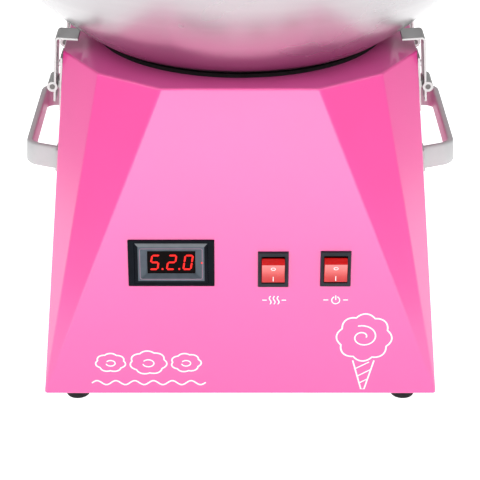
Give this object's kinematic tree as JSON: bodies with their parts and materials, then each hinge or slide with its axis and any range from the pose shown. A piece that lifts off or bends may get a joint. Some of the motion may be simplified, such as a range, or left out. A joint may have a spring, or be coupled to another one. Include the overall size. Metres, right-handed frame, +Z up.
{
  "type": "cotton candy machine",
  "caption": "Table-top candy floss machine: square faceted housing leaning inward, round open bowl on top, spinning heated head, panel meter, rocker switches and side handles.",
  "frame": {"origin": "on the ground, under the axis of the spinning head", "axes": "+Z up along the head's axis, +Y towards the back, +X to the right seen from the front panel"},
  "size_m": [0.52, 0.52, 0.4814],
  "materials": {
    "pink_paint": "gloss",
    "galvanised": "satin",
    "steel_screw": "bright",
    "black_rubber": "matte",
    "cast_aluminium": "satin",
    "stainless": "bright",
    "black_plastic": "satin",
    "grey_plastic": "satin",
    "dark_window": "gloss",
    "red_light": "lit",
    "red_rocker": "gloss",
    "tinned_brass": "satin",
    "brass": "satin",
    "clip_steel": "satin",
    "motor_steel": "satin",
    "bakelite": "satin",
    "carbon": "matte",
    "laminated_steel": "satin",
    "ceramic": "matte",
    "heater_alloy": "satin",
    "circuit_board": "satin",
    "board_part": "satin",
    "white_plastic": "satin"
  },
  "bodies": {
    "chassis": {"housing_shell": "pink_paint", "base_plate": "galvanised", "base_screws": "steel_screw", "feet": "black_rubber", "foot_screws": "steel_screw", "hub_collar": "cast_aluminium", "collar_screws": "steel_screw", "seat_gasket": "black_rubber", "meter_bezel": "black_plastic", "meter_inner_frame": "grey_plastic", "meter_window": "dark_window", "meter_body": "black_plastic", "meter_digits": "red_light", "heat_switch_body": "black_plastic", "power_switch_body": "black_plastic", "switch_terminals": "tinned_brass", "handle_left": "cast_aluminium", "handle_right": "cast_aluminium", "handle_screws": "steel_screw", "clip_bases": "clip_steel", "clip_pins": "steel_screw", "clip_rivets": "cast_aluminium", "motor_can": "motor_steel", "motor_caps": "cast_aluminium", "motor_bearings": "steel_screw", "motor_plate": "galvanised", "plate_studs": "steel_screw", "plate_grommets": "black_rubber", "brush_holder": "bakelite", "board_spacers": "white_plastic", "control_board": "circuit_board", "board_parts": "board_part", "terminal_block": "white_plastic", "mains_inlet": "black_plastic", "inlet_pins": "tinned_brass", "inlet_screws": "steel_screw"},
    "spinning_head": {"motor_shaft": "steel_screw", "armature": "laminated_steel", "cooling_fan": "white_plastic", "slip_ring_core": "bakelite", "slip_rings": "brass", "head_base": "cast_aluminium", "mesh_band": "stainless", "heater_ribbon": "heater_alloy", "heater_posts": "ceramic", "head_cap": "cast_aluminium", "sugar_funnel": "stainless", "cap_screws": "steel_screw", "head_nut": "steel_screw"},
    "bowl_body": {"bowl": "stainless"},
    "heat_rocker_body": {"heat_rocker": "red_rocker"},
    "power_rocker_body": {"power_rocker": "red_rocker"},
    "clip_front_left_body": {"clip_front_left": "clip_steel"},
    "clip_back_left_body": {"clip_back_left": "clip_steel"},
    "clip_front_right_body": {"clip_front_right": "clip_steel"},
    "clip_back_right_body": {"clip_back_right": "clip_steel"},
    "brush_lower_body": {"brush_lower": "carbon"},
    "brush_upper_body": {"brush_upper": "carbon"}
  },
  "joints": [
    {"name": "head_spin", "type": "hinge", "parent": "chassis", "child": "spinning_head", "pos_m": [0, 0, 0.32], "axis": [0, 0, 1], "continuous": true},
    {"name": "bowl_lift", "type": "slide", "parent": "chassis", "child": "bowl_body", "axis": [0, 0, 1], "range_m": [0, 0.25]},
    {"name": "heat_switch", "type": "hinge", "parent": "chassis", "child": "heat_rocker_body", "pos_m": [0.0264, -0.149, 0.12756], "axis": [-1, 0, 0], "range_deg": [0, 22]},
    {"name": "power_switch", "type": "hinge", "parent": "chassis", "child": "power_rocker_body", "pos_m": [0.0763, -0.14896, 0.12806], "axis": [-1, 0, 0], "range_deg": [0, 22]},
    {"name": "clip_front_left_swing", "type": "hinge", "parent": "chassis", "child": "clip_front_left_body", "pos_m": [-0.15317, -0.052, 0.24816], "axis": [0, -1, 0], "range_deg": [0, 12], "stiffness_Nm_per_rad": 0.2, "springref_deg": -8.59},
    {"name": "clip_back_left_swing", "type": "hinge", "parent": "chassis", "child": "clip_back_left_body", "pos_m": [-0.15317, 0.052, 0.24816], "axis": [0, -1, 0], "range_deg": [0, 12], "stiffness_Nm_per_rad": 0.2, "springref_deg": -8.59},
    {"name": "clip_front_right_swing", "type": "hinge", "parent": "chassis", "child": "clip_front_right_body", "pos_m": [0.15317, -0.052, 0.24816], "axis": [0, 1, 0], "range_deg": [0, 12], "stiffness_Nm_per_rad": 0.2, "springref_deg": -8.59},
    {"name": "clip_back_right_swing", "type": "hinge", "parent": "chassis", "child": "clip_back_right_body", "pos_m": [0.15317, 0.052, 0.24816], "axis": [0, 1, 0], "range_deg": [0, 12], "stiffness_Nm_per_rad": 0.2, "springref_deg": -8.59},
    {"name": "brush_lower_slide", "type": "slide", "parent": "chassis", "child": "brush_lower_body", "axis": [0, 1, 0], "range_m": [0, 0.008], "stiffness_N_per_m": 40, "springref_m": -0.01},
    {"name": "brush_upper_slide", "type": "slide", "parent": "chassis", "child": "brush_upper_body", "axis": [0, 1, 0], "range_m": [0, 0.008], "stiffness_N_per_m": 40, "springref_m": -0.01}
  ]
}
